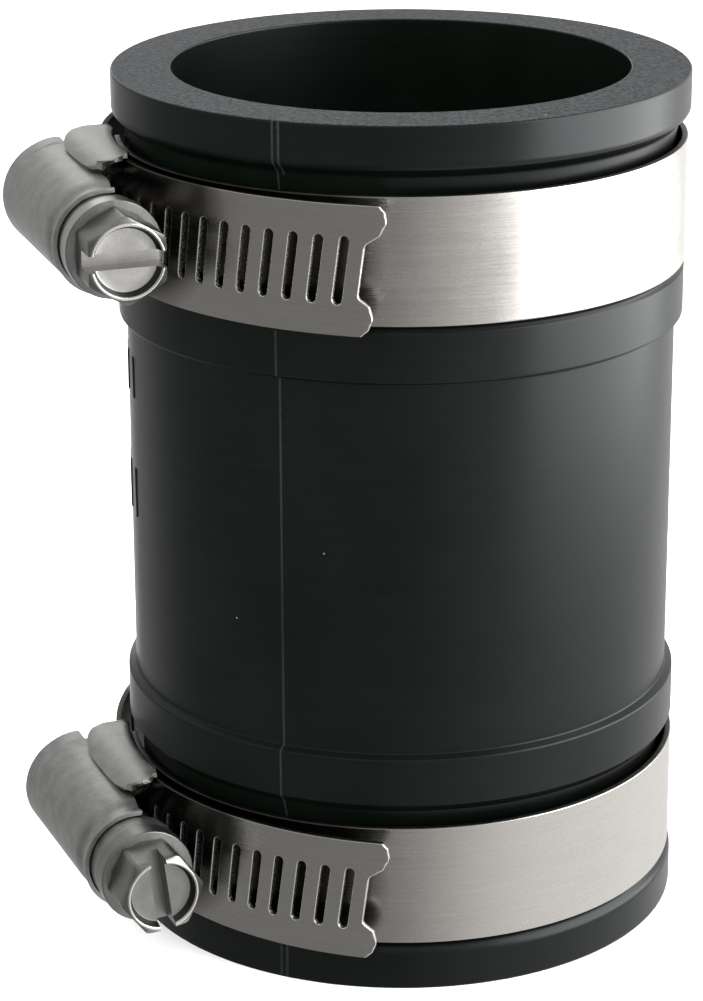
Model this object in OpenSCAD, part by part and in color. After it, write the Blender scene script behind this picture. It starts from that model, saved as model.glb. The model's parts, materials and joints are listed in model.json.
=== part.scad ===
// Flexible pipe coupling: an elastomer sleeve with a loose worm-drive clamp at each end.
// Origin: centre of the lower mouth on the bottom face. +Z runs up the sleeve.
// Both clamps carry their screw housings on the -X side, screw heads towards -Y.

/* [Sleeve] */
// Pipe bore diameter (fits a pipe of 1.900 in outside diameter)
bore_d = 48.3; // [47:0.1:49]
// Overall length of the sleeve
sleeve_h = 92.6; // [90:0.1:100]
// Diameter of the two end flanges
flange_d = 61; // [60.8:0.1:61.2]
// Diameter of the two collars
collar_d = 60.4; // [60:0.1:60.4]
// Diameter of the barrel between the collars
barrel_d = 58.7; // [57:0.1:59.5]
// Diameter of the band groove floors
groove_d = 57.6; // [55:0.1:57.8]

/* [Clamp bands] */
// Inside diameter of a loose clamp loop
loop_d = 59.2; // [59:0.1:59.4]
// Band width
band_w = 13.2; // [12.4:0.1:13.2]
// Band thickness
band_t = 0.65; // [0.5:0.05:0.7]
// Distance between neighbouring band slots, which is the worm pitch
slot_pitch = 2.65; // [2.5:0.05:2.8]
// Length of a band slot
slot_l = 7; // [6:0.1:7.5]
// Width of a band slot
slot_w = 1.05; // [1:0.05:1.15]
// Slots in the tail strip
slot_count = 22; // [18:1:22]

/* [Clamp placing] */
// Height of the lower band's middle above the bottom face
lower_z = 11.8; // [11.8:0.1:13]
// Height of the upper band's middle above the bottom face
upper_z = 79; // [79:0.1:80.2]
// Turn of the lower clamp round the sleeve
lower_turn = 3; // [-10:0.5:10]
// Where the upper tail ends, as an angle along its own arc from the screw
upper_tail_end = 59.7; // [55:0.1:62]
// Where the lower tail ends, as an angle along its own arc from the screw
lower_tail_end = 57.3; // [55:0.1:62]
// Turn of the upper screw's head from having its slot level
upper_hex_turn = 0; // [-180:1:180]
// Turn of the lower screw's head from having its slot level
lower_hex_turn = -97; // [-180:1:180]

/* [Worm housing] */
// Distance of the screw axis from the sleeve axis
screw_r = 35.3; // [35.3:0.05:35.4]
// Outside radius of the housing arch
arch_r = 5.35; // [5.3:0.05:5.4]
// Sheet thickness of housing and saddle
sheet_t = 0.6; // [0.5:0.05:0.6]
// Housing length from the back edge to the start of the nose
arch_l = 22.5; // [21:0.5:23]
// Hexagon size across flats (5/16 in)
hex_af = 7.94; // [7.9:0.01:8]

/* [Hidden] */
$fn = 96;

// Sleeve profile heights, each measured from the nearer end face
edge_c = 0.7;
flange_h = 4.4;
groove_start = 7.6;
groove_end = 18;
collar_start = 21;
collar_end = 26;
collar_step = 0.4;
mouth_c = 0.5;

// Band loop
loop_r = loop_d / 2;
loop_out = loop_r + band_t;
root_back = -14;
bow_start = 150;
bow_round = 0.4;

// Tail strip: an arc of its own, wider than the loop, so that it stands off towards its free end
tail_shift = 4.8;
tail_in = loop_out + sheet_t + 0.1 + tail_shift;
tail_out = tail_in + band_t;
tail_mid = (tail_in + tail_out) / 2;
tail_back = -38;
lobe_depth = 2.3;
first_slot = lobe_depth + 1.6;

// Screw: core, thread, neck, flange and head, as distances along the axis from the housing's middle
thread_r = 4.1;
core_r = 3.3;
lean = atan(slot_pitch / (2 * PI * (thread_r - 0.3)));
thread_l = 18;
neck_r = 2.6;
neck_gap = 0.05;
nose_start = arch_l / 2 - 0.25;
nose_l = 2.1;
flange_start = nose_start + nose_l + 0.1;
flange_t = 1.1;
head_start = flange_start + flange_t;
head_l = 5;
head_c = 0.55;
drive_slot_w = 1.7;
drive_slot_d = 3;
nose_r = 5.05;
washer_r = 4.95;

// Housing feet and saddle ears
foot_r = loop_out + sheet_t + 0.1 + band_t + 0.1;
foot_z = band_w / 2;
ear_in = band_w / 2 + 0.1;
ear_out = ear_in + sheet_t;
ear_top = 34;
ear_back = -9.5;
ear_front = 4.5;

steel = [0.78, 0.77, 0.74];
shell_grey = [0.60, 0.60, 0.58];
rubber = [0.09, 0.10, 0.10];

function arc(r, cx, cy, a0, a1, n) = [for (i = [0:n]) let (a = a0 + (a1 - a0) * i / n) [cx + r * cos(a), cy + r * sin(a)]];
function smooth(t) = t * t * (3 - 2 * t);

// Half of the sleeve's outer profile, from an end face to the middle of the barrel
function half_profile() = [
    [flange_d / 2 - edge_c, 0],
    [flange_d / 2, edge_c],
    [flange_d / 2, flange_h],
    [loop_out, flange_h + 0.1],
    [loop_r, flange_h + 0.75],
    [(loop_r + groove_d / 2) / 2, (flange_h + groove_start) / 2 + 0.2],
    [groove_d / 2 + 0.2, groove_start - 0.4],
    [groove_d / 2, groove_start],
    [groove_d / 2, groove_end],
    [groove_d / 2 + 0.4, groove_end + 0.3],
    [loop_r, collar_start - 0.65],
    [collar_d / 2, collar_start],
    [collar_d / 2, collar_end],
    [barrel_d / 2, collar_end + collar_step],
    [barrel_d / 2, sleeve_h / 2]];

module half_sleeve() {
    rotate_extrude($fn = 128)
        difference() {
            polygon(concat([[0, 0]], half_profile(), [[0, sleeve_h / 2]]));
            polygon([[-1, -1], [bore_d / 2 + mouth_c + 1, -1], [bore_d / 2, mouth_c],
                [bore_d / 2, sleeve_h / 2 + 1], [-1, sleeve_h / 2 + 1]]);
        }
}

module sleeve() {
    color(rubber) {
        half_sleeve();
        translate([0, 0, sleeve_h]) mirror([0, 0, 1]) half_sleeve();
    }
}

// Fixed stretch of the band, from its root under the housing round the front to the right
module band_loop() {
    color(steel)
        rotate([0, 0, 180 + root_back])
            rotate_extrude(angle = bow_start - root_back, $fn = 128)
                translate([loop_r, -band_w / 2]) square([band_t, band_w]);
}

// One point of the bow: it eases from the loop's circle to the tail's arc, a is 0 to 1
function bow_point(a, loop_radius, tail_radius) =
    let (angle = 180 + bow_start + (180 - bow_start + 180 + tail_back) * a,
         on_loop = loop_radius * [cos(angle), sin(angle)],
         on_tail = [tail_shift, 0] + tail_radius * [cos(angle), sin(angle)],
         k = smooth(max(0, (a - bow_round) / (1 - bow_round))))
    (1 - k) * on_loop + k * on_tail;

// Flexible stretch of the same band at the back, which bends as the tail is drawn through
module band_bow() {
    steps = 36;
    inner = [for (i = [0:steps]) bow_point(i / steps, loop_r, tail_in)];
    outer = [for (i = [steps:-1:0]) bow_point(i / steps, loop_out, tail_out)];
    color(steel)
        translate([0, 0, -band_w / 2]) linear_extrude(band_w) polygon(concat(inner, outer));
}

// Places a cutter on the tail's arc, s millimetres back from its free end, with x along the strip
module on_tail(tail_end, s) {
    angle = tail_end - s / tail_mid * 180 / PI;
    translate([tail_shift, 0, 0]) rotate([0, 0, 180 + angle])
        translate([tail_in - 1, 0, 0]) rotate([90, 0, 90]) children();
}

module slot_shape() {
    straight = slot_l - slot_w;
    rotate([0, 0, -lean]) {
        square([slot_w, straight], center = true);
        for (side = [-1, 1]) translate([0, side * straight / 2]) circle(d = slot_w, $fn = 24);
    }
}

// Everything past the notched end: two lobes with a recess between, sheared by the slots' lean
module end_cut_shape() {
    half = [[-0.9, band_w / 2 + 1], [-0.9, band_w / 2], [-0.25, 5.7], [0, 4.8], [-0.3, 3.9],
        [-1.1, 3.1], [-1.9, 2.7], [-lobe_depth, 2.1]];
    outline = concat(half, [for (i = [len(half) - 1:-1:0]) [half[i][0], -half[i][1]]]);
    sheared = [for (p = outline) [p[0] + p[1] * tan(lean), p[1]]];
    polygon(concat(sheared, [[4, -band_w], [4, band_w]]));
}

module band_tail(tail_end) {
    color(steel)
        difference() {
            translate([tail_shift, 0, 0]) rotate([0, 0, 180 + tail_back])
                rotate_extrude(angle = tail_end + 2 - tail_back, $fn = 128)
                    translate([tail_in, -band_w / 2]) square([band_t, band_w]);
            on_tail(tail_end, 0) linear_extrude(3) end_cut_shape();
            for (i = [0:slot_count - 1])
                on_tail(tail_end, first_slot + i * slot_pitch) linear_extrude(3) slot_shape();
        }
}

// Draws a profile of radial distance and height, pushed along the screw axis from back to front
module along_screw(back, front) {
    translate([0, -back, 0]) rotate([90, 0, 0])
        linear_extrude(front - back) mirror([1, 0]) children();
}

module ear_profile() {
    lip_r = 1.4;
    centre_x = ear_top - lip_r;
    centre_z = ear_out - lip_r;
    outer = arc(lip_r, centre_x, centre_z, 90, 0, 8);
    inner = arc(lip_r - sheet_t, centre_x, centre_z, 0, 90, 8);
    polygon(concat([[loop_r - 2, ear_out]], outer, [[ear_top, arch_r + 0.05], [ear_top - sheet_t, arch_r + 0.05]],
        inner, [[loop_r - 2, ear_in]]));
}

// Plate under the tail, over the band root, with an ear rolled over each foot of the housing
module saddle() {
    color(shell_grey)
        difference() {
            union() {
                intersection() {
                    translate([0, 0, -ear_out])
                        rotate([0, 0, 150]) rotate_extrude(angle = 60, $fn = 128)
                            translate([loop_out, 0]) square([sheet_t, 2 * ear_out]);
                    translate([-screw_r, -ear_front, -10]) cube([20, ear_front - ear_back, 20]);
                }
                for (side = [0, 1]) mirror([0, 0, side]) along_screw(ear_back, ear_front) ear_profile();
            }
            translate([0, 0, -10]) cylinder(r = loop_out, h = 20, $fn = 128);
        }
}

module arch_profile() {
    inner_r = arch_r - sheet_t;
    difference() {
        union() {
            translate([screw_r, 0]) circle(r = arch_r);
            translate([foot_r, -arch_r]) square([screw_r - foot_r, 2 * arch_r]);
            translate([foot_r, -foot_z]) square([sheet_t, 2 * foot_z]);
        }
        translate([screw_r, 0]) circle(r = inner_r);
        translate([foot_r - 1, -inner_r]) square([screw_r - foot_r + 1, 2 * inner_r]);
        translate([foot_r - 5, -band_w]) square([5, 2 * band_w]);
    }
}

// Flared sheet in front of the ears
module skirt_profile() {
    for (side = [-1, 1])
        polygon([[screw_r - 1.6, side * (arch_r - sheet_t)], [screw_r - 1.6, side * arch_r],
            [foot_r + sheet_t, side * foot_z], [foot_r, side * foot_z], [foot_r, side * (arch_r - sheet_t)]]);
}

// Cylinder on the screw axis between two distances from the housing's middle
module on_axis(back, front, r, r_front = 0) {
    translate([-screw_r, -back, 0]) rotate([90, 0, 0])
        cylinder(h = front - back, r1 = r, r2 = r_front > 0 ? r_front : r, $fn = 64);
}

module housing() {
    color(shell_grey)
        difference() {
            union() {
                along_screw(-arch_l / 2, nose_start) arch_profile();
                along_screw(ear_front + 0.3, nose_start) skirt_profile();
                on_axis(nose_start - 0.01, nose_start + nose_l, nose_r);
            }
            on_axis(nose_start - 1, nose_start + nose_l + 1, neck_r + neck_gap);
        }
}

// One trapezoid of the thread ridge, at an angle round the axis; the root is sunk into the core
function ridge(angle, scale_r) =
    let (root = core_r - 0.15, tip = root + (thread_r - root) * scale_r,
         along = slot_pitch * angle / 360)
    [for (p = [[root, -0.5], [tip, -0.2], [tip, 0.2], [root, 0.5]])
        [p[0] * cos(angle), along + p[1], -p[0] * sin(angle)]];

// Right-hand worm thread about +Y, faded in and out at its ends
module thread(phase) {
    steps_per_turn = 24;
    turns = (thread_l - 1.2) / slot_pitch;
    steps = floor(turns * steps_per_turn);
    first = -turns / 2 * 360;
    rings = [for (i = [0:steps]) ridge(first + i * 360 / steps_per_turn,
        min(1, (min(i, steps - i) + 1) / 7))];
    points = [for (ring = rings) for (p = ring) p];
    sides = [for (i = [0:steps - 1]) for (j = [0:3])
        [4 * i + j, 4 * i + (j + 1) % 4, 4 * (i + 1) + (j + 1) % 4, 4 * (i + 1) + j]];
    caps = [[3, 2, 1, 0], [4 * steps, 4 * steps + 1, 4 * steps + 2, 4 * steps + 3]];
    translate([-screw_r, 0, 0]) rotate([0, phase, 0]) polyhedron(points, concat(sides, caps));
}

module screw(tail_end, hex_turn) {
    // Distance from the housing's middle to the next slot, so that the thread sits in the slots
    slot_offset = (tail_end * PI / 180 * tail_mid - first_slot) % slot_pitch;
    phase = -slot_offset / slot_pitch * 360;
    hex_r = hex_af / 2 / cos(30);
    head_end = head_start + head_l;
    color(steel)
        union() {
            thread(-phase);
            on_axis(-thread_l / 2, nose_start - 0.1, core_r);
            on_axis(nose_start - 0.2, flange_start + 0.1, neck_r);
            on_axis(flange_start, head_start, washer_r);
            difference() {
                intersection() {
                    translate([-screw_r, -head_start + 0.1, 0]) rotate([90, 90 + hex_turn, 0])
                        cylinder(h = head_l + 0.1, r = hex_r, $fn = 6);
                    union() {
                        on_axis(head_start - 0.2, head_end - head_c, hex_r + 0.1);
                        on_axis(head_end - head_c, head_end, hex_r + 0.1, hex_af / 2 - 0.25);
                    }
                }
                translate([-screw_r, -head_end, 0]) rotate([0, hex_turn, 0])
                    cube([12, 2 * drive_slot_d, drive_slot_w], center = true);
            }
        }
}

module place_upper() { translate([0, 0, upper_z]) children(); }
module place_lower() { translate([0, 0, lower_z]) rotate([0, 0, lower_turn]) children(); }

module upper_band_loop() { place_upper() band_loop(); }
module upper_band_bow() { place_upper() band_bow(); }
module upper_band_tail() { place_upper() band_tail(upper_tail_end); }
module upper_saddle() { place_upper() saddle(); }
module upper_housing() { place_upper() housing(); }
module upper_screw() { place_upper() screw(upper_tail_end, upper_hex_turn); }
module lower_band_loop() { place_lower() band_loop(); }
module lower_band_bow() { place_lower() band_bow(); }
module lower_band_tail() { place_lower() band_tail(lower_tail_end); }
module lower_saddle() { place_lower() saddle(); }
module lower_housing() { place_lower() housing(); }
module lower_screw() { place_lower() screw(lower_tail_end, lower_hex_turn); }

sleeve();
upper_band_loop();
upper_band_bow();
upper_band_tail();
upper_saddle();
upper_housing();
upper_screw();
lower_band_loop();
lower_band_bow();
lower_band_tail();
lower_saddle();
lower_housing();
lower_screw();
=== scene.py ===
"""Looks for a flexible pipe coupling: a moulded rubber sleeve with a loose worm-drive clamp at each end.

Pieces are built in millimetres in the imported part's frame and written to Blender in metres.
A clamp is built in its own frame: its middle at z = 0, its screw parallel to Y on the -X side.
Distances "along" the screw run from the housing's middle towards the screw head, which is -Y.
"""

import json
import math

import bmesh
import bpy
from mathutils import Matrix, Vector
from mathutils.geometry import delaunay_2d_cdt


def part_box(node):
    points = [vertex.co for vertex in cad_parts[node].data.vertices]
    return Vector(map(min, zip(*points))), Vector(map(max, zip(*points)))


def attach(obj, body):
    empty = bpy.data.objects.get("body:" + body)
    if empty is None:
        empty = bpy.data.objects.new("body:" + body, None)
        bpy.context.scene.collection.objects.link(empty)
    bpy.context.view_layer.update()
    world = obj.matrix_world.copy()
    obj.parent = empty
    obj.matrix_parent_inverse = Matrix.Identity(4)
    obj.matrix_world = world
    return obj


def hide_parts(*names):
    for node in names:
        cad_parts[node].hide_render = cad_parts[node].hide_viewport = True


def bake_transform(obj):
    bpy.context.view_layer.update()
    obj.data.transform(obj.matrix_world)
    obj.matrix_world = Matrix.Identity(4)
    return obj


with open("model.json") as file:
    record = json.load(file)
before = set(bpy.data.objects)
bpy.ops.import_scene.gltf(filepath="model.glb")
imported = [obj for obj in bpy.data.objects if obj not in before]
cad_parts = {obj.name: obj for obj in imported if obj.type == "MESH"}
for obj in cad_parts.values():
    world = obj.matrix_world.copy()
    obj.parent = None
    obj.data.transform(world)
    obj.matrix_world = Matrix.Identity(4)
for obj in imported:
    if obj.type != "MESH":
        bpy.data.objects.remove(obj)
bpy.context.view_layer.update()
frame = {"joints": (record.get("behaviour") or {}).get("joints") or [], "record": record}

MM = 0.001
JOINTS = {joint["name"]: joint for joint in frame["joints"]}
MOUNTS = {mount["name"]: mount for mount in frame["record"]["mounts"]}

# Sleeve, in millimetres
sleeve_low, sleeve_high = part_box("sleeve")
SLEEVE_H = (sleeve_high.z - sleeve_low.z) / MM
FLANGE_R = (sleeve_high.x - sleeve_low.x) / 2 / MM
BORE_R = MOUNTS["pipe_bore"]["dims"]["r_mm"]
BARREL_R = 29.35
COLLAR_R = 30.2
GROOVE_R = 28.8
PARTING_AZIMUTHS = (-43.6, 136.4)

# Clamp band
loop_low, loop_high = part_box("upper_band_loop")
BAND_W = (loop_high.z - loop_low.z) / MM
BAND_T = 0.65
LOOP_OUT = -loop_low.y / MM
LOOP_IN = LOOP_OUT - BAND_T
LOOP_START = 166
LOOP_END = 330
TAIL_X = JOINTS["upper_tail_feed"]["pos_m"][0] / MM
TAIL_IN = LOOP_OUT + 0.7 + TAIL_X
TAIL_MID = TAIL_IN + BAND_T / 2
TAIL_BACK = -38
SLOT_PITCH = 2.65
SLOT_L = 7.0
SLOT_W = 1.0
FIRST_SLOT = 3.9
THREAD_R = 4.1
LEAN = math.atan(SLOT_PITCH / (2 * math.pi * (THREAD_R - 1.0)))

# Housing, saddle and screw
SCREW_X = JOINTS["upper_screw_turn"]["pos_m"][0] / MM
SHEET_T = 0.5
SHELL_BACK = -11.25
SHELL_FRONT = 11.0
NOSE_END = 11.9
FLANGE_START = 12.0
FLANGE_EDGE = 5.05
HEAD_START = 14.3
HEAD_END = 19.3
HEX_AF = 7.94

# What differs between the clamps: the angle from the housing to the slotted end, how far the hexagon is
# turned and drawn out, and where the saddle's ears start and end along the screw
CLAMPS = {
    "upper": {"tail_end": 59.7, "head_turn": 0, "head_out": 0, "ear": (-10.0, 5.3)},
    "lower": {"tail_end": 57.3, "head_turn": -97, "head_out": 1.2, "ear": (-9.4, 7.1)},
}


# ---------------------------------------------------------------- camera


def make_camera():
    """A long lens, a little left of the front and looking down on the part."""
    data = bpy.data.cameras.new("camera")
    data.lens = 117.7
    data.sensor_width = 36
    data.clip_start = 0.01
    camera = bpy.data.objects.new("camera", data)
    bpy.context.scene.collection.objects.link(camera)
    turn = Matrix.Rotation(math.radians(-19.0956), 4, "Z")
    tilt = Matrix.Rotation(math.radians(90 - 19.1424), 4, "X")
    roll = Matrix.Rotation(math.radians(-0.2356), 4, "Z")
    camera.matrix_world = Matrix.Translation((-0.11616, -0.31915, 0.16183)) @ turn @ tilt @ roll
    bpy.context.scene.camera = camera


make_camera()


# ---------------------------------------------------------------- materials


class Finish:
    """A procedural material. Its textures are placed in millimetres on the piece."""

    def __init__(self, name, **fixed):
        self.material = bpy.data.materials.new(name)
        self.material.use_nodes = True
        self.tree = self.material.node_tree
        self.shader = self.tree.nodes["Principled BSDF"]
        for socket, value in fixed.items():
            self.shader.inputs[socket.replace("_", " ")].default_value = value
        self.place = self.tree.nodes.new("ShaderNodeTexCoord").outputs["Object"]

    def link(self, source, node, socket):
        self.tree.links.new(source, node.inputs[socket])

    def stretched(self, x, y, z):
        """Positions scaled to so many texture units per millimetre along each axis."""
        node = self.tree.nodes.new("ShaderNodeMapping")
        node.inputs["Scale"].default_value = (x / MM, y / MM, z / MM)
        self.link(self.place, node, "Vector")
        return node.outputs["Vector"]

    def noise(self, place, detail=2, roughness=0.5, distortion=0):
        node = self.tree.nodes.new("ShaderNodeTexNoise")
        node.inputs["Scale"].default_value = 1
        node.inputs["Detail"].default_value = detail
        node.inputs["Roughness"].default_value = roughness
        node.inputs["Distortion"].default_value = distortion
        self.link(place, node, "Vector")
        return node.outputs["Fac"]

    def cells(self, place, feature="F1"):
        node = self.tree.nodes.new("ShaderNodeTexVoronoi")
        node.inputs["Scale"].default_value = 1
        node.feature = feature
        self.link(place, node, "Vector")
        return node

    def around(self, middle, reach):
        """Falls from 1 at the middle to 0 at reach from it, both in metres."""
        place = self.tree.nodes.new("ShaderNodeMapping")
        place.inputs["Location"].default_value = middle / -reach
        place.inputs["Scale"].default_value = (1 / reach, 1 / reach, 1 / reach)
        self.link(self.place, place, "Vector")
        node = self.tree.nodes.new("ShaderNodeTexGradient")
        node.gradient_type = "SPHERICAL"
        self.link(place.outputs["Vector"], node, "Vector")
        return node.outputs["Fac"]

    def spread(self, value, low, high, to_low, to_high):
        """Maps the value from low..high to to_low..to_high, clamped."""
        node = self.tree.nodes.new("ShaderNodeMapRange")
        sockets = ("From Min", "From Max", "To Min", "To Max")
        for socket, number in zip(sockets, (low, high, to_low, to_high)):
            node.inputs[socket].default_value = number
        self.link(value, node, "Value")
        return node.outputs["Result"]

    def blend(self, share, first, second):
        """A colour from first to second. Either may be a colour or a socket."""
        node = self.tree.nodes.new("ShaderNodeMix")
        node.data_type = "RGBA"
        self.link(share, node, 0)
        for socket, colour in ((6, first), (7, second)):
            if isinstance(colour, tuple):
                node.inputs[socket].default_value = (*colour, 1)
            else:
                self.link(colour, node, socket)
        return node.outputs[2]

    def maths(self, operation, first, second):
        node = self.tree.nodes.new("ShaderNodeMath")
        node.operation = operation
        for socket, value in enumerate((first, second)):
            if isinstance(value, (int, float)):
                node.inputs[socket].default_value = value
            else:
                self.link(value, node, socket)
        return node.outputs["Value"]

    def bump(self, height, depth_mm, under=None):
        """Raises the surface by up to depth_mm where height is 1."""
        node = self.tree.nodes.new("ShaderNodeBump")
        node.inputs["Strength"].default_value = 1
        node.inputs["Distance"].default_value = depth_mm * MM
        self.link(height, node, "Height")
        if under:
            self.link(under, node, "Normal")
        return node.outputs["Normal"]

    def set(self, socket, source):
        self.link(source, self.shader, socket)


def rubber_finish(name, shine, dark, pale, rough, grain_depth, speckle, fineness):
    """Matt moulded elastomer: fine grain, faint rings from the mould, and specks of dust."""
    made = Finish(name, Specular_IOR_Level=shine, Specular_Tint=(0.93, 0.98, 1, 1))
    rings = made.noise(made.stretched(0.05, 0.05, 1.6), detail=3)
    cloud = made.noise(made.stretched(0.09, 0.09, 0.06), detail=3)
    grain = made.noise(made.stretched(*[fineness] * 3), detail=3, roughness=0.7)
    tone = made.maths("ADD", made.maths("MULTIPLY", rings, 0.4), made.maths("MULTIPLY", cloud, 0.6))
    even, spotted = made.maths("MULTIPLY", tone, 1 - speckle), made.maths("MULTIPLY", grain, speckle)
    mixed = made.maths("ADD", even, spotted)
    body = made.blend(made.spread(mixed, 0.38, 0.62, 0, 1), dark, pale)
    specks = made.cells(made.stretched(0.42, 0.42, 0.42))
    near = made.spread(specks.outputs["Distance"], 0.035, 0.06, 1, 0)
    rare = made.spread(specks.outputs["Color"], 0.87, 0.92, 0, 1)
    dust = made.maths("MULTIPLY", near, rare)
    made.set("Base Color", made.blend(dust, body, (0.2, 0.21, 0.2)))
    made.set("Roughness", made.spread(made.maths("ADD", tone, grain), 0.6, 1.4, rough, rough + 0.1))
    fine = made.bump(grain, grain_depth)
    made.set("Normal", made.bump(rings, 0.007, fine))
    return made.material


def band_finish(name, shaded_spots=(), sheen=1.0):
    """Rolled stainless strip with fine lines along it, darkened round the given places: painted shade.

    sheen is how much of the glancing reflection is left.
    """
    made = Finish(name, Metallic=1.0, Anisotropic=0.55, Specular_Tint=(sheen, sheen, sheen, 1))
    tangent = made.tree.nodes.new("ShaderNodeTangent")
    tangent.direction_type = "RADIAL"
    tangent.axis = "Z"
    made.link(tangent.outputs["Tangent"], made.shader, "Tangent")
    lines = made.noise(made.stretched(0.12, 0.12, 9), detail=4, roughness=0.65)
    cloud = made.noise(made.stretched(0.3, 0.3, 0.16), detail=3)
    grain = made.noise(made.stretched(5, 5, 7), detail=2)
    tone = made.maths("ADD", made.maths("MULTIPLY", lines, 0.5), made.maths("MULTIPLY", grain, 0.5))
    steel = made.blend(made.spread(tone, 0.3, 0.7, 0, 1), (0.50, 0.475, 0.44), (0.63, 0.61, 0.58))
    # Painted shade: the steel goes near black round each given spot.
    for middle in shaded_spots:
        shade_share = made.spread(made.around(middle, 13.5 * MM), 0, 0.22, 0, 0.85)
        steel = made.blend(shade_share, steel, (0.06, 0.056, 0.05))
    made.set("Base Color", steel)
    made.set("Roughness", made.spread(made.maths("ADD", cloud, lines), 0.6, 1.4, 0.2, 0.32))
    made.set("Normal", made.bump(lines, 0.004))
    return made.material


def pressed_finish(name, dark, pale, rough_low, rough_high, pit_depth):
    """Tumbled stainless pressing: grainy, softly mottled, with small pits and scuffs."""
    made = Finish(name, Metallic=1.0)
    mottle = made.noise(made.stretched(0.55, 0.55, 0.55), detail=4, roughness=0.6)
    grain = made.noise(made.stretched(7, 7, 7), detail=3, roughness=0.7)
    tone = made.maths("ADD", made.maths("MULTIPLY", mottle, 0.6), made.maths("MULTIPLY", grain, 0.4))
    made.set("Base Color", made.blend(made.spread(tone, 0.35, 0.65, 0, 1), dark, pale))
    made.set("Roughness", made.spread(tone, 0.35, 0.65, rough_low, rough_high))
    pits = made.cells(made.stretched(1.6, 1.6, 1.6))
    dents = made.spread(pits.outputs["Distance"], 0.05, 0.2, 0, 1)
    made.set("Normal", made.bump(dents, pit_depth, made.bump(grain, 0.012)))
    return made.material


def glint_edge_finish():
    """Freshly sheared steel edge, painted brighter than the faces: a highlight for the light the edges catch.
    """
    made = Finish("cut_edge_glint", Metallic=1.0)
    streaks = made.noise(made.stretched(4, 4, 4), detail=3)
    made.set("Base Color", made.blend(streaks, (0.70, 0.69, 0.67), (0.88, 0.87, 0.85)))
    made.set("Roughness", made.spread(streaks, 0.3, 0.7, 0.2, 0.34))
    return made.material


def floor_finish():
    made = Finish("floor", Roughness=0.7, Specular_IOR_Level=0.2)
    cloud = made.noise(made.stretched(0.01, 0.01, 0.01), detail=2)
    made.set("Base Color", made.blend(cloud, (0.90, 0.90, 0.90), (0.93, 0.93, 0.93)))
    return made.material


RUBBER = rubber_finish(
    "rubber", 0.27, (0.0008, 0.0015, 0.0009), (0.0016, 0.0024, 0.0017), 0.28, 0.008, 0.2, 6
)
RUBBER_END = rubber_finish(
    "rubber_end", 0.03, (0.006, 0.0065, 0.007), (0.034, 0.036, 0.038), 0.36, 0.06, 0.85, 2
)
# A lighter rubber on the lit crest of the mould's real flash ridge: painted highlight.
FLASH_HIGHLIGHT = rubber_finish(
    "mould_flash_highlight", 0.29, (0.002, 0.003, 0.003), (0.011, 0.013, 0.012), 0.4, 0.01, 0.5, 6
)
BAND = band_finish("band_steel")
HOUSING = pressed_finish("housing_steel", (0.31, 0.31, 0.30), (0.51, 0.51, 0.495), 0.38, 0.5, 0.03)
SCREW = pressed_finish("screw_steel", (0.45, 0.44, 0.43), (0.60, 0.59, 0.58), 0.28, 0.4, 0.01)
# A darker copy of the screw steel for the lower screw: painted shade.
SCREW_SHADED = pressed_finish("screw_steel_shaded", (0.25, 0.25, 0.24), (0.33, 0.33, 0.32), 0.3, 0.42, 0.012)
# Darker steel, painted shade on the hex sides, the chamfer and the flange's front face.
HALF_SHADE = pressed_finish("half_shade_steel", (0.22, 0.22, 0.21), (0.34, 0.34, 0.33), 0.3, 0.44, 0.012)
# Near-black steel, painted shade on faces in deep shade: strip undersides and edges, gaps between parts,
# hidden plates and hollows.
DEEP_SHADE = pressed_finish("deep_shade_steel", (0.045, 0.045, 0.04), (0.10, 0.10, 0.09), 0.35, 0.5, 0.01)
# Bright edge steel, a painted highlight on cut edges, the hex rim and the first slots' walls.
EDGE = glint_edge_finish()


# ---------------------------------------------------------------- mesh helpers


def arc(radius, x, y, start, end, steps):
    """Points along an arc, with angles in degrees."""
    angles = [math.radians(start + (end - start) * i / steps) for i in range(steps + 1)]
    return [(x + radius * math.cos(a), y + radius * math.sin(a)) for a in angles]


def smooth(value):
    value = max(0.0, min(1.0, value))
    return value * value * (3 - 2 * value)


def steps_between(start, end, spacing):
    """Evenly spaced numbers from start to end, no further apart than spacing."""
    count = max(1, math.ceil(abs(end - start) / spacing))
    return [start + (end - start) * i / count for i in range(count + 1)]


def rounded(corners, closed=False, steps=4, guard=0.12):
    """A 2D outline from (x, y, radius) corners, with a guard point just outside each rounding."""
    count = len(corners)
    points = []
    for i, (x, y, radius) in enumerate(corners):
        here = Vector((x, y))
        if radius <= 0 or (not closed and i in (0, count - 1)):
            points.append(tuple(here))
            continue
        before = Vector(corners[i - 1][:2]) - here
        after = Vector(corners[(i + 1) % count][:2]) - here
        half = before.angle(after) / 2
        reach = min(radius / math.tan(half), 0.48 * before.length, 0.48 * after.length)
        before.normalize()
        after.normalize()
        points.append(tuple(here + before * (reach + min(guard, 0.2 * reach + 0.02))))
        start, end = here + before * reach, here + after * reach
        for k in range(steps + 1):
            s = k / steps
            points.append(tuple((1 - s) ** 2 * start + 2 * s * (1 - s) * here + s * s * end))
        points.append(tuple(here + after * (reach + min(guard, 0.2 * reach + 0.02))))
    return points


def resampled(points, count):
    """The same polyline as count points at even distances."""
    lengths = [0.0]
    for a, b in zip(points, points[1:]):
        lengths.append(lengths[-1] + math.dist(a, b))
    made, k = [], 0
    for i in range(count):
        want = lengths[-1] * i / (count - 1)
        while k < len(points) - 2 and lengths[k + 1] < want:
            k += 1
        share = (want - lengths[k]) / max(1e-9, lengths[k + 1] - lengths[k])
        made.append(tuple(p + (q - p) * share for p, q in zip(points[k], points[k + 1])))
    return made


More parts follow.
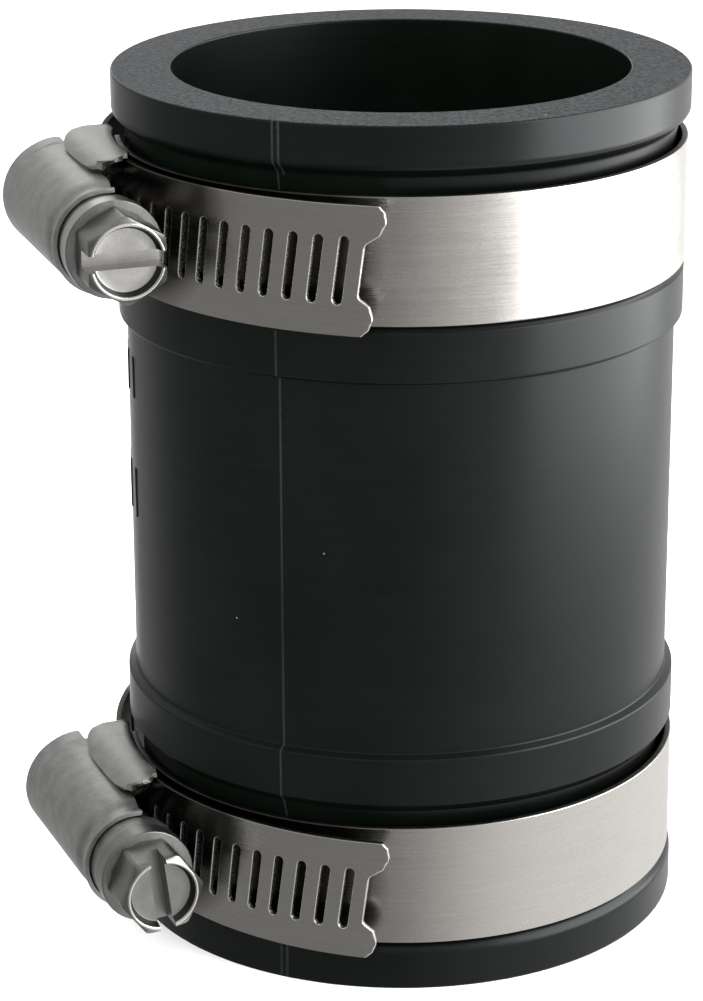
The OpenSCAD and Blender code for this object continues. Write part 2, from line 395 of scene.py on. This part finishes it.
class Build:
    """Collects a piece's points and faces in millimetres."""

    def __init__(self):
        self.points, self.faces, self.slots = [], [], []

    def add(self, points):
        first = len(self.points)
        self.points.extend(points)
        return list(range(first, len(self.points)))

    def face(self, corners, slot=0):
        self.faces.append(tuple(corners))
        self.slots.append(slot)

    def skin(self, rows, closed=True, slot=0):
        """Quads between neighbouring rows of point numbers. slot is a number, or a function of (row, column)
        that gives one.
        """
        for i, (near, far) in enumerate(zip(rows, rows[1:])):
            columns = len(near) if closed else len(near) - 1
            for j in range(columns):
                k = (j + 1) % len(near)
                chosen = slot(i, j) if callable(slot) else slot
                self.face((near[j], near[k], far[k], far[j]), chosen)

    def cap(self, ring, centre, slot=0):
        """A fan from a ring of point numbers to a new centre point."""
        middle = self.add([centre])[0]
        for j, point in enumerate(ring):
            self.face((point, ring[(j + 1) % len(ring)], middle), slot)

    def piece(self, name, materials, place=None, sharp=None):
        """Writes the mesh as an object, turned and moved by place, with normals outside."""
        mesh = bpy.data.meshes.new(name)
        mesh.from_pydata([Vector(p) * MM for p in self.points], [], self.faces)
        mesh.polygons.foreach_set("material_index", self.slots)
        for material in materials:
            mesh.materials.append(material)
        return dressed(name, mesh, place, sharp)


def dressed(name, mesh, place=None, sharp=None):
    """An object of the mesh, with shared points merged, normals outside and smooth faces."""
    work = bmesh.new()
    work.from_mesh(mesh)
    bmesh.ops.remove_doubles(work, verts=work.verts, dist=1e-7)
    bmesh.ops.recalc_face_normals(work, faces=work.faces)
    work.to_mesh(mesh)
    work.free()
    if place is not None:
        mesh.transform(place)
    mesh.shade_smooth()
    if sharp:
        mesh.set_sharp_from_angle(angle=math.radians(sharp))
    made = bpy.data.objects.new(name, mesh)
    bpy.context.scene.collection.objects.link(made)
    return made


def apply_modifiers(piece):
    """Swaps the piece's mesh for the one that its modifiers make."""
    graph = bpy.context.evaluated_depsgraph_get()
    mesh = bpy.data.meshes.new_from_object(piece.evaluated_get(graph))
    piece.modifiers.clear()
    piece.data = mesh


def thicken(piece, thickness, offset, bevel):
    """Gives a sheet its thickness and softened edges. Its rim takes the material slot after the face's."""
    solid = piece.modifiers.new("thickness", "SOLIDIFY")
    solid.thickness = thickness * MM
    solid.offset = offset
    solid.use_even_offset = True
    solid.material_offset_rim = 1
    soft = piece.modifiers.new("edges", "BEVEL")
    soft.width = bevel * MM
    soft.segments = 2
    soft.limit_method = "ANGLE"
    soft.angle_limit = math.radians(40)
    soft.harden_normals = True


# ---------------------------------------------------------------- sleeve


def sleeve_half():
    """Outer profile from the end face to the barrel's middle, as (radius, height from the end)."""
    corners = [
        (BORE_R, SLEEVE_H / 2, 0),
        (BORE_R, 3, 0),
        (BORE_R, 0, 0.2),
        (FLANGE_R, 0, 0.3),
        (FLANGE_R, 4.2, 0.9),
        (29.3, 5.3, 0.7),
        (GROOVE_R, 8.2, 0.8),
        (GROOVE_R, 18.0, 0.4),
        (29.45, 20.05, 0.2),
        (29.95, 20.7, 0.06),
        (COLLAR_R, 20.95, 0.12),
        (COLLAR_R, 26.0, 0.22),
        (BARREL_R, 26.4, 0.18),
        (BARREL_R, SLEEVE_H / 2, 0),
    ]
    return rounded(corners, guard=0.15)


def parting_height(distance):
    """Height of the twin flash line left by the mould, at a distance round from its middle."""
    off = abs(distance)
    bead = max(0.0, 1 - abs(off - 0.33) / 0.13)
    return 0.12 * bead + (0.04 if off < 0.33 else 0)


def crest(angle, azimuth):
    """Which crest of the flash line the strip of faces from the angle is on: -1, 1, or 0 for neither."""
    off = math.radians((angle - azimuth + 90 + 180) % 360 - 180) * FLANGE_R
    if -0.48 < off < -0.25:
        return -1
    return 1 if 0.19 < off < 0.4 else 0


def sleeve_angles():
    """Even steps round the sleeve, with close ones at the parting lines."""
    angles = set(range(0, 3600, 15))
    for azimuth in PARTING_AZIMUTHS:
        middle = (azimuth - 90) % 360
        angles -= {a for a in angles if abs(a / 10 - middle) < 1.4}
        for distance in (0, 0.2, 0.33, 0.46, 0.65):
            step = math.degrees(distance / FLANGE_R)
            angles |= {round((middle - step) * 10, 3), round((middle + step) * 10, 3)}
    return [a / 10 for a in sorted(angles)]


def tick(build, azimuth, low, high):
    """A plain raised bar on the barrel, where a maker would put lettering."""
    rings = []
    for radius, inset in ((BARREL_R - 0.2, 0), (BARREL_R + 0.08, 0), (BARREL_R + 0.12, 0.06)):
        half = math.degrees((0.45 - inset) / BARREL_R)
        ring = []
        for side, height in ((-1, low + inset), (1, low + inset), (1, high - inset), (-1, high - inset)):
            angle = math.radians(azimuth - 90 + side * half)
            ring.append((radius * math.cos(angle), radius * math.sin(angle), height))
        rings.append(build.add(ring))
    build.skin(rings)
    build.face(rings[-1])
    build.face(rings[0][::-1])


def make_sleeve():
    half = sleeve_half()
    profile = half + [(r, SLEEVE_H - z) for r, z in reversed(half[1:-1])]
    angles = sleeve_angles()
    build = Build()
    rows = []
    for radius, height in profile:
        outside = radius > BORE_R + 3 and 0.3 < height < SLEEVE_H - 0.3
        row = []
        for angle in angles:
            grown = radius
            if outside:
                for azimuth in PARTING_AZIMUTHS:
                    off = (angle - azimuth + 90 + 180) % 360 - 180
                    grown += parting_height(math.radians(off) * radius)
            a = math.radians(angle)
            row.append((grown * math.cos(a), grown * math.sin(a), height))
        rows.append(build.add(row))
    flat = [BORE_R + 0.1 < r < FLANGE_R - 0.1 and not 0.1 < z < SLEEVE_H - 0.1 for r, z in profile]
    crests = [sum(crest(angle, azimuth) for azimuth in PARTING_AZIMUTHS) for angle in angles]

    def slot(i, j):
        if flat[i] and flat[(i + 1) % len(flat)]:
            return 1
        radius, height = profile[i]
        near_end = not 7 < height < SLEEVE_H - 7
        # The crest that catches the light takes the lighter flash rubber: painted highlight.
        lit_crest = crests[j] == -1 or (crests[j] == 1 and near_end)
        return 2 if lit_crest and radius > BORE_R + 3 else 0

    build.skin(rows + [rows[0]], slot=slot)
    for low, high in ((58.2, 62.6), (44.8, 50.2)):
        for azimuth in range(-95, -150, -7):
            tick(build, azimuth, low, high)
    made = build.piece("rubber_sleeve", [RUBBER, RUBBER_END, FLASH_HIGHLIGHT])
    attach(made, "sleeve")
    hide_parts("sleeve")


make_sleeve()


# ---------------------------------------------------------------- clamp bands


def strip_section():
    """Cross-section of the plain strip as (across, thickness) points, and which sides are its long edges."""
    half = BAND_W / 2
    corners = [(-half, 0, 0.16), (half, 0, 0.16), (half, BAND_T, 0.16), (-half, BAND_T, 0.16)]
    points = rounded(corners, closed=True, steps=3, guard=0.08)
    edge = [abs(p[0]) > half - 0.1 for p in points]
    return points, edge


def sweep_strip(name, steel, stations, place):
    """A plain strip along stations, each a function from thickness to an (x, y) point.

    Its edges and its inner face take the deep-shade steel: painted shade.
    """
    section, edge = strip_section()

    def slot(i, j):
        k = (j + 1) % len(section)
        outer = section[j][1] + section[k][1] > BAND_T
        return 0 if outer and not (edge[j] and edge[k]) else 1

    build = Build()
    rows = []
    for station in stations:
        rows.append(build.add([(*station(t), w) for w, t in section]))
    build.skin(rows, slot=slot)
    build.face(rows[0][::-1], 1)
    build.face(rows[-1], 1)
    return build.piece(name, [steel, DEEP_SHADE], place, sharp=60)


def on_circle(angle, radius, x=0.0):
    a = math.radians(angle)
    return (x + radius * math.cos(a), radius * math.sin(a))


def loop_station(angle):
    return lambda t: on_circle(angle, LOOP_IN + t)


def bow_station(share):
    """The bow leaves the loop's circle and eases on to the tail's own arc."""
    angle = LOOP_END + (180 + TAIL_BACK + 360 - LOOP_END) * share
    k = smooth((share - 0.4) / 0.6)

    def point(t):
        loop = on_circle(angle, LOOP_IN + t)
        tail = on_circle(angle, TAIL_IN + t, TAIL_X)
        return (loop[0] + (tail[0] - loop[0]) * k, loop[1] + (tail[1] - loop[1]) * k)

    return point


def slot_outline(distance):
    """One worm slot, distance back from the strip's free end, run clockwise."""
    straight = (SLOT_L - SLOT_W) / 2
    points = arc(SLOT_W / 2, 0, straight, 180, 0, 8) + arc(SLOT_W / 2, 0, -straight, 0, -180, 8)
    extra = [(SLOT_W / 2, straight * k) for k in (0.6, 0.2, -0.2, -0.6)]
    points = points[:9] + extra + points[9:] + [(-x, -y) for x, y in extra]
    turn = Matrix.Rotation(-LEAN, 2)
    return [tuple(turn @ Vector(p) - Vector((distance, 0))) for p in points]


def free_end():
    """The notched end of the strip from its lower edge to its upper edge: two lobes with a recess."""
    half = BAND_W / 2
    corners = [
        (-1.0, half, 0.45),
        (-0.35, 5.95, 0.5),
        (-0.03, 4.85, 1.0),
        (-0.55, 3.55, 0.5),
        (-1.85, 2.65, 0.6),
    ]
    upper = [(x, y, r) for x, y, r in corners]
    lower = [(x, -y, r) for x, y, r in reversed(corners)]
    ends = [(-4, half, 0)] + upper + lower + [(-4, -half, 0)]
    outline = rounded(ends, steps=6, guard=0)[1:-1]
    sheared = [(x + y * math.tan(LEAN) * 1.02, y) for x, y in outline]
    return sheared[::-1]


def strip_outline(length):
    """The tail strip's outline, anticlockwise, with x running towards the free end at 0."""
    half = BAND_W / 2
    end = free_end()
    lower = [(x, -half) for x in steps_between(-length, end[0][0] - 0.3, 0.9)]
    upper = [(x, half) for x in steps_between(end[-1][0] - 0.3, -length, 0.9)]
    back = [(-length, y) for y in steps_between(half, -half, 0.9)][1:-1]
    return lower + end + upper + back


def inset(outline, amount):
    """The outline moved to its left by amount, which is into the metal."""
    made = []
    count = len(outline)
    for i, here in enumerate(outline):
        before = Vector(here) - Vector(outline[i - 1])
        after = Vector(outline[(i + 1) % count]) - Vector(here)
        side = Vector((-before.y, before.x)).normalized() + Vector((-after.y, after.x)).normalized()
        side.normalize()
        lean = max(0.5, side.dot(Vector((-after.y, after.x)).normalized()))
        made.append(tuple(Vector(here) + side * (amount / lean)))
    return made


def inside(point, outline):
    """Whether the point is inside the closed outline."""
    x, y = point
    found = False
    for (ax, ay), (bx, by) in zip(outline, outline[1:] + outline[:1]):
        if (ay > y) != (by > y) and x < ax + (y - ay) / (by - ay) * (bx - ax):
            found = not found
    return found


def filled(outlines, spacing):
    """Triangles between the first outline and the others, with extra points so that they bend well."""
    points, edges = [], []
    for outline in outlines:
        first = len(points)
        points.extend(outline)
        edges.extend((first + i, first + (i + 1) % len(outline)) for i in range(len(outline)))
    low = min(p[0] for p in points)
    high = max(p[0] for p in points)
    for x in steps_between(low + spacing / 2, high, spacing):
        for y in steps_between(-BAND_W / 2, BAND_W / 2, spacing):
            gap = min(math.dist((x, y), p) for p in points[: sum(map(len, outlines))])
            in_hole = any(inside((x, y), outline) for outline in outlines[1:])
            if gap > 0.35 and inside((x, y), outlines[0]) and not in_hole:
                points.append((x, y))
    found = delaunay_2d_cdt([Vector(p) for p in points], edges, [], 0, 1e-6)
    kept = []
    for corners in found[2]:
        middle = sum((found[0][c] for c in corners), Vector((0, 0))) / 3
        if inside(middle, outlines[0]) and not any(inside(middle, o) for o in outlines[1:]):
            kept.append(tuple(corners))
    return [tuple(p) for p in found[0]], kept


def make_tail(name, steel, tail_end, place):
    """The slotted end of the band, which lies over the loop's root and the saddle.

    The first slots' walls take the bright edge steel, a painted highlight; the later slots' walls and the
    underside take the deep-shade steel, painted shade.
    """
    length = math.radians(tail_end - TAIL_BACK) * TAIL_MID

    def bent(point, t):
        angle = 180 + tail_end + math.degrees(point[0] / TAIL_MID)
        return (*on_circle(angle, TAIL_IN + t, TAIL_X), point[1])

    outlines = [strip_outline(length)]
    slots = int((length - 1.5 - FIRST_SLOT) / SLOT_PITCH) + 1
    outlines += [slot_outline(FIRST_SLOT + i * SLOT_PITCH) for i in range(slots)]
    bevel = 0.09
    levels = [(0.15, 0), (bevel, 0), (0.3 * bevel, 0.3 * bevel), (0, bevel)]
    levels = levels + [(i, BAND_T - t) for i, t in reversed(levels)]
    build = Build()
    for k, outline in enumerate(outlines):
        rows = [build.add([bent(p, t) for p in inset(outline, i)]) for i, t in levels]
        # Painted highlight on the first slots' walls, painted shade on the rest.
        wall = 1 if k < 12 else 2
        cut = [k > 0 or (abs(y) < BAND_W / 2 - 0.01 and x > -4) for x, y in outline]
        build.skin(rows, slot=lambda i, j: wall if cut[j] and 0 < i < len(levels) - 2 else 0)
    flat, triangles = filled([inset(outline, levels[0][0]) for outline in outlines], 1.0)
    # The underside, facing the loop, is painted shade.
    for t in (0, BAND_T):
        numbers = build.add([bent(p, t) for p in flat])
        for corners in triangles:
            build.face([numbers[c] for c in corners], 0 if t else 2)
    return build.piece(name, [steel, EDGE, DEEP_SHADE], place, sharp=60)


# ---------------------------------------------------------------- saddle and housing


def mirrored(half):
    """A full cross-section from the lower side to the upper one, from the upper half of it."""
    return [(x, -z) for x, z in reversed(half[1:])] + half


def saddle_half(along, ear):
    """Middle line of the saddle's sheet from its centre out and over its folded ear."""
    plate = math.sqrt((LOOP_OUT + SHEET_T / 2 + 0.05) ** 2 - along * along)
    wall = BAND_W / 2 + 0.4
    fold_out, fold_up, fold_x = 4.2, 2.85, 31.6
    back, front = ear
    from_middle = (2 * along - back - front) / (front - back)
    power = 5 if from_middle > 0 else 2.6
    fullness = max(0.0, 1 - abs(from_middle) ** power) ** (1 / power)
    last = math.degrees(math.acos((0.3 + 3.16 * fullness) / fold_out))
    corner = arc(0.6, plate + 0.6, wall - 0.6, 180, 90, 5)
    flat = [(plate, z) for z in steps_between(0, wall - 0.7, 0.8)]
    angles = [math.radians(90 + (last - 90) * i / 16) for i in range(17)]
    fold = [(fold_x + fold_out * math.cos(a), wall - fold_up + fold_up * math.sin(a)) for a in angles]
    return flat + corner + fold


def jag(share):
    """How far the ear's torn front edge is cut back, by place along the section from foot to tip."""
    teeth = [
        (0.0, 4.4), (0.52, 4.4), (0.57, 3.1), (0.62, 2.3), (0.66, 1.0), (0.70, 1.2), (0.76, 0.3),
        (0.84, 0.1), (1.0, 0),
    ]
    for (a, low), (b, high) in zip(teeth, teeth[1:]):
        if share <= b:
            return low + (high - low) * (share - a) / (b - a)
    return 0


def make_saddle(name, ear, place):
    """Plate between loop and tail, with an ear folded over each foot of the housing."""
    back, front = ear
    count = 73
    build = Build()
    rows = []
    for share in steps_between(0, 1, 1 / 48):
        row = []
        for j in range(count):
            u = abs(2 * j / (count - 1) - 1)
            upper = j > count / 2
            limit = front - (jag(u) if upper else 0.3 * jag(u))
            along = back + (limit - back) * share
            line = mirrored(resampled(saddle_half(along, ear), (count + 1) // 2))
            out, up = line[j]
            row.append((-out, -along, up))
        rows.append(build.add(row))
    # The plate between the ears, hidden under the tail, takes deep-shade steel: painted shade.
    build.skin(rows, closed=False, slot=lambda i, j: 2 if abs(2 * j / (count - 1) - 1) < 0.56 else 0)
    made = build.piece(name, [HOUSING, EDGE, DEEP_SHADE, DEEP_SHADE], place)
    thicken(made, SHEET_T, 0, 0.09)
    return made


def shell_end(along, ear):
    """How near the pipe the housing's sheet reaches: low between the ears, and high past them."""
    back, front = ear
    foot = 31.2
    rear = foot + (34.25 - foot) * smooth((back + 1.7 - along) / 1.2)
    fore = foot + (33.9 - foot) * smooth((along - front + 2.6) / 2) + 0.35 * smooth((along - 7) / 4)
    return rear if along < 0 else fore


def shell_half(along, ear):
    """Outer line of the housing's sheet from its crown to the edge of its foot."""
    share = (along - SHELL_BACK) / (SHELL_FRONT - SHELL_BACK)
    neck = 0.34 * math.exp(-(((along - 9.0) / 1.1) ** 2))
    lip = 0.12 * smooth((along - 9.8) / 0.8)
    middle = 34.75 + 0.55 * share
    radius = 5.87 - 0.47 * share - neck + lip
    flare = 0.15 * smooth((-6 - along) / 5)
    line = []
    for x, z in arc(radius, 0, 0, 0, 92, 26):
        line.append((middle + x, z + flare * smooth(1 - x / 3)))
    x, z = line[-1]
    line += [(out, z) for out in steps_between(x, 30.9, 0.4)[1:]]
    end = shell_end(along, ear)
    kept = [p for p in line if p[0] > end]
    return resampled(kept + [(end, kept[-1][1])], 36)


def ring_points(along, radius, count):
    """Points of a circle round the screw axis."""
    angles = [2 * math.pi * i / count for i in range(count)]
    return [(SCREW_X - radius * math.cos(a), -along, radius * math.sin(a)) for a in angles]


def make_housing(name, ear, nose_end, place):
    """The worm's cover: an arched shell on two feet, and the turned nose that holds the screw."""
    build = Build()
    stations = steps_between(SHELL_BACK, -9, 0.15) + steps_between(-9, 3, 0.75)[1:]
    stations += steps_between(3, SHELL_FRONT, 0.25)[1:]
    rows = []
    for along in stations:
        rows.append(build.add([(-out, -along, up) for out, up in mirrored(shell_half(along, ear))]))
    build.skin(rows, closed=False)
    made = build.piece(name, [HOUSING, EDGE], place)
    thicken(made, SHEET_T, -1, 0.08)
    apply_modifiers(made)
    back = place.inverted()
    for face in made.data.polygons:
        if (back @ face.center).y < (0.12 - SHELL_FRONT) * MM:
            face.material_index = 0
    nose = Build()
    corners = [(10.6, 2.65, 0), (10.6, 4.9, 0.1), (nose_end, 4.9, 0.2), (nose_end, 2.65, 0.1)]
    profile = rounded(corners, closed=True, steps=5)
    rows = [nose.add(ring_points(along, radius, 96)) for along, radius in profile]
    nose.skin(rows + [rows[0]])
    ring = nose.piece(name + "_nose", [HOUSING, EDGE], place)
    joined(made, ring)
    return made


def joined(piece, *others):
    """Adds the other pieces' meshes to the first one's and deletes the other pieces."""
    work = bmesh.new()
    work.from_mesh(piece.data)
    for other in others:
        work.from_mesh(other.data)
        bpy.data.objects.remove(other)
    work.to_mesh(piece.data)
    work.free()


# ---------------------------------------------------------------- screw


def hex_radius(angle):
    """Distance from the axis to the hexagon's side at an angle, with its corners just rounded."""
    off = (angle + 30) % 60 - 30
    corner = HEX_AF / 2 / math.cos(math.radians(30))
    return min(HEX_AF / 2 / math.cos(math.radians(30 - abs(off))), corner - 0.10)


def head_rows():
    """Rows of the hexagon head from flange to hollow, each a function from angle to (along, radius)."""
    rim = HEX_AF / 2 - 0.02
    slope = math.tan(math.radians(24))

    def chamfer(angle):
        return HEAD_END - 0.12 - max(0.0, hex_radius(angle) - rim) * slope

    return [
        lambda a: (HEAD_START - 0.2, hex_radius(a)),
        lambda a: (HEAD_START + 0.3, hex_radius(a)),
        lambda a: (HEAD_END - 1.2, hex_radius(a)),
        lambda a: (chamfer(a) - 0.06, hex_radius(a)),
        lambda a: (chamfer(a) - 0.01, hex_radius(a) - 0.02),
        lambda a: (chamfer(a) + 0.02, hex_radius(a) - 0.06),
        lambda a: (HEAD_END - 0.10, rim - 0.05),
        lambda a: (HEAD_END - 0.03, rim - 0.10),
        lambda a: (HEAD_END, rim - 0.18),
        lambda a: (HEAD_END, rim - 0.26),
        lambda a: (HEAD_END - 0.04, rim - 0.34),
        lambda a: (HEAD_END - 0.14, rim - 0.40),
        lambda a: (HEAD_END - 0.80, rim - 0.62),
        lambda a: (HEAD_END - 0.95, rim - 0.72),
        lambda a: (HEAD_END - 1.00, rim - 0.90),
        lambda a: (HEAD_END - 1.00, rim - 1.6),
        lambda a: (HEAD_END - 1.00, 1.0),
    ]


def polar_rows(build, rows, angles):
    """Rings round the Y axis, one for each row: a function from angle to (along, radius)."""
    made = []
    for row in rows:
        ring = []
        for angle in angles:
            along, radius = row(angle)
            a = math.radians(angle)
            ring.append((radius * math.sin(a), -along, radius * math.cos(a)))
        made.append(build.add(ring))
    return made


def make_head(name, materials, place):
    """Hexagon head with a hollow face, cut across by the driver slot."""
    side = (0, 0.8, 1.6, 3, 7, 12, 18, 24, 30, 36, 42, 48, 53, 57, 58.4, 59.2)
    angles = [k * 60 + step for k in range(6) for step in side]
    build = Build()
    rows = head_rows()
    rings = polar_rows(build, rows, angles)
    # Hex sides and chamfer in half-shade steel and the hollow's wall in deep-shade steel are painted shade;
    # the rounded rim in edge steel is a painted highlight.
    slots = [3] * 6 + [1] * 5 + [2] * 2 + [0] * 4
    build.skin(rings, slot=lambda i, j: slots[i])
    build.cap(rings[-1], (0, -HEAD_END + 1.0, 0))
    build.cap(rings[0], (0, -HEAD_START + 0.2, 0))
    head = build.piece(name, materials, sharp=35)
    cutter = Build()
    reach, depth, half = 7, 3.0, 0.85
    rings = []
    for y in (-HEAD_END - 1, -HEAD_END + depth):
        rings.append(cutter.add([(-reach, y, -half), (reach, y, -half), (reach, y, half), (-reach, y, half)]))
    cutter.skin(rings)
    cutter.face(rings[0])
    cutter.face(rings[1])
    box = cutter.piece(name + "_cutter", materials)
    cut = head.modifiers.new("slot", "BOOLEAN")
    cut.object = box
    cut.solver = "EXACT"
    apply_modifiers(head)
    bpy.data.objects.remove(box)
    head.data.transform(place)
    head.data.set_sharp_from_angle(angle=math.radians(35))
    return head


def make_thread(build, phase):
    """Right-hand worm ridge that passes through the strip's slots, faded at both ends."""
    per_turn = 40
    core = 3.15
    turns = 16.8 / SLOT_PITCH
    steps = int(turns * per_turn)
    rows = []
    for i in range(steps + 1):
        angle = -turns / 2 * 360 + i * 360 / per_turn
        tip = core + (THREAD_R - core) * min(1, (min(i, steps - i) + 1) / (0.3 * per_turn))
        a = math.radians(angle + phase)
        middle = SLOT_PITCH * angle / 360
        ridge = [(core, -0.5), (tip - 0.1, -0.24), (tip, -0.16), (tip, 0.16), (tip - 0.1, 0.24), (core, 0.5)]
        rows.append(build.add([(r * math.cos(a), middle + y, -r * math.sin(a)) for r, y in ridge]))
    build.skin(rows)
    build.face(rows[0])
    build.face(rows[-1])


def make_screw(name, steel, tail_end, head_turn, head_out, place):
    """Worm, neck, round flange and hexagon head."""
    to_slot = (math.radians(tail_end) * TAIL_MID - FIRST_SLOT) % SLOT_PITCH
    face = HEAD_START + head_out
    build = Build()
    make_thread(build, to_slot / SLOT_PITCH * 360)
    corners = [
        (-9.0, 0.5, 0), (-9.0, 3.3, 0.3), (SHELL_FRONT - 0.5, 3.3, 0.2), (SHELL_FRONT - 0.5, 2.6, 0.05),
        (FLANGE_START + head_out, 2.6, 0.05), (FLANGE_START + head_out, FLANGE_EDGE, 0.2),
        (face - 0.15, FLANGE_EDGE, 0.15), (face, 4.2, 0.3), (face, 0.5, 0),
    ]
    profile = rounded(corners, steps=4)
    angles = [i * 3.75 for i in range(96)]
    rings = polar_rows(build, [lambda a, p=p: p for p in profile], angles)
    # The flange's front face takes half-shade steel: painted shade beside the head.
    build.skin(rings, slot=lambda i, j: 3 if profile[i][0] > face - 0.2 else 0)
    build.cap(rings[0], (0, 9.0, 0))
    build.cap(rings[-1], (0, -face, 0), 3)
    materials = [steel, EDGE, DEEP_SHADE, HALF_SHADE]
    axis = place @ Matrix.Translation((SCREW_X * MM, 0, 0))
    made = build.piece(name, materials, axis, sharp=50)
    turned = Matrix.Rotation(math.radians(head_turn), 4, "Y")
    head = make_head(name + "_head", materials, axis @ Matrix.Translation((0, -head_out * MM, 0)) @ turned)
    joined(made, head)
    return made


# ---------------------------------------------------------------- clamps


def make_clamp(side, tail_end, head_turn, head_out, ear):
    """All of one clamp. Only the sizes that differ between the two clamps are passed in."""
    low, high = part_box(side + "_band_loop")
    axis = JOINTS[side + "_screw_turn"]["axis"]
    turn = math.atan2(-axis[0], axis[1])
    place = Matrix.Translation((0, 0, (low.z + high.z) / 2)) @ Matrix.Rotation(turn, 4, "Z")
    clamp, tail, screw = side + "_clamp", side + "_tail", side + "_screw"

    turns = steps_between(LOOP_START, LOOP_END, 1.5)
    # Painted shade on the loop where it runs under the slotted end.
    under_tail = [(*on_circle(180 + tail_end - 18 - 14 * i, LOOP_OUT * MM), 0) for i in range(5)]
    loop_steel = band_finish(side + "_loop_steel", [place @ Vector(spot) for spot in under_tail])
    loop = sweep_strip(side + "_band_front", loop_steel, [loop_station(a) for a in turns], place)
    shares = steps_between(0, 1, 1 / 116)
    bow = sweep_strip(side + "_band_back", BAND, [bow_station(share) for share in shares], place)
    # Painted shade and dark reflection on the slotted end beside the worm and the housing.
    near_worm = [place @ (Vector(spot) * MM) for spot in ((-30.7, -7.5, 5), (-31.5, 11, 2))]
    tail_steel = band_finish(side + "_slotted_steel", near_worm, 0.3)
    slotted = make_tail(side + "_band_slotted", tail_steel, tail_end, place)
    saddle = make_saddle(side + "_saddle_plate", ear, place)
    housing = make_housing(side + "_worm_housing", ear, NOSE_END + head_out, place)
    # The lower screw takes the darker copy of the same steel: painted shade.
    screw_steel = SCREW if side == "upper" else SCREW_SHADED
    worm = make_screw(side + "_worm_screw", screw_steel, tail_end, head_turn, head_out, place)

    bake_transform(bow)
    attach(slotted, tail)
    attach(worm, screw)
    for piece in (loop, saddle, housing):
        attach(piece, clamp)
    for piece, node, slot in (
        (loop, "band_loop", "band_steel"),
        (bow, "band_bow", "band_steel"),
        (slotted, "band_tail", "band_steel"),
        (saddle, "saddle", "housing_steel"),
        (housing, "housing", "housing_steel"),
        (worm, "screw", "screw_steel"),
    ):
        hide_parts(side + "_" + node)


for side, sizes in CLAMPS.items():
    make_clamp(side, **sizes)


# ---------------------------------------------------------------- stage


def make_floor():
    build = Build()
    half = 3000
    lines = steps_between(-half, half, 1500)
    rows = [build.add([(x, y, 0) for x in lines]) for y in lines]
    build.skin(rows, closed=False)
    floor = build.piece("floor", [floor_finish()])
    floor.visible_glossy = False


def make_light(name, place, target, size, power, glossy):
    """A soft box at place, aimed at target, all in metres. Only a glossy one shows in reflections."""
    data = bpy.data.lights.new(name, "AREA")
    data.shape = "RECTANGLE"
    data.size, data.size_y = size
    data.energy = power
    light = bpy.data.objects.new(name, data)
    bpy.context.scene.collection.objects.link(light)
    light.location = place
    light.rotation_euler = (Vector(target) - Vector(place)).to_track_quat("-Z", "Y").to_euler()
    light.visible_camera = False
    light.visible_glossy = glossy


# Brightness of the room by direction: degrees from the front (-Y) towards +X, and radiance
STUDIO = ((-180, 0.55), (-154, 0.36), (-130, 0.26), (-80, 0.25), (-40, 0.25), (-20, 0.28), (-4, 0.52),
          (20, 0.85), (40, 1.0), (100, 1.2), (130, 1.1), (160, 0.85), (180, 0.55))
OVERHEAD = 0.6


def make_world():
    """A white room, darker on the left, that the metal and the rubber reflect."""
    world = bpy.data.worlds.new("studio")
    world.use_nodes = True
    tree = world.node_tree
    nodes, link = tree.nodes, tree.links.new
    parts = nodes.new("ShaderNodeSeparateXYZ")
    link(nodes.new("ShaderNodeTexCoord").outputs["Generated"], parts.inputs[0])
    forward = nodes.new("ShaderNodeMath")
    forward.operation = "MULTIPLY"
    forward.inputs[1].default_value = -1
    link(parts.outputs["Y"], forward.inputs[0])
    azimuth = nodes.new("ShaderNodeMath")
    azimuth.operation = "ARCTAN2"
    link(parts.outputs["X"], azimuth.inputs[0])
    link(forward.outputs[0], azimuth.inputs[1])
    share = nodes.new("ShaderNodeMapRange")
    share.inputs["From Min"].default_value = -math.pi
    share.inputs["From Max"].default_value = math.pi
    link(azimuth.outputs[0], share.inputs["Value"])
    ramp = nodes.new("ShaderNodeValToRGB")
    stops = ramp.color_ramp.elements
    for degrees, radiance in STUDIO:
        place = (degrees + 180) / 360
        stop = stops.new(place) if 0 < place < 1 else stops[int(place)]
        level = radiance / 2
        stop.color = (level, level, level, 1)
    link(share.outputs["Result"], ramp.inputs["Fac"])
    height = nodes.new("ShaderNodeMapRange")
    height.inputs["From Min"].default_value = 0.4
    height.inputs["From Max"].default_value = 0.8
    link(parts.outputs["Z"], height.inputs["Value"])
    room = nodes.new("ShaderNodeMix")
    room.data_type = "RGBA"
    link(height.outputs["Result"], room.inputs[0])
    link(ramp.outputs["Color"], room.inputs[6])
    room.inputs[7].default_value = (OVERHEAD / 2, OVERHEAD / 2, OVERHEAD / 2, 1)
    back = nodes["Background"]
    back.inputs["Strength"].default_value = 2
    link(room.outputs[2], back.inputs["Color"])
    bpy.context.scene.world = world


make_floor()
make_world()
middle = (0, 0, SLEEVE_H / 2 * MM)
make_light("panel", (0.181, -0.085, 0.16), (0, 0, 0.16), (0.28, 0.32), 1.5, True)
make_light("top", (0.02, 0.08, 0.9), middle, (1.6, 1.6), 20, False)
make_light("fill", (-0.7, -0.4, 0.35), middle, (1.2, 0.6), 22, False)
bpy.context.scene.view_settings.view_transform = "Standard"
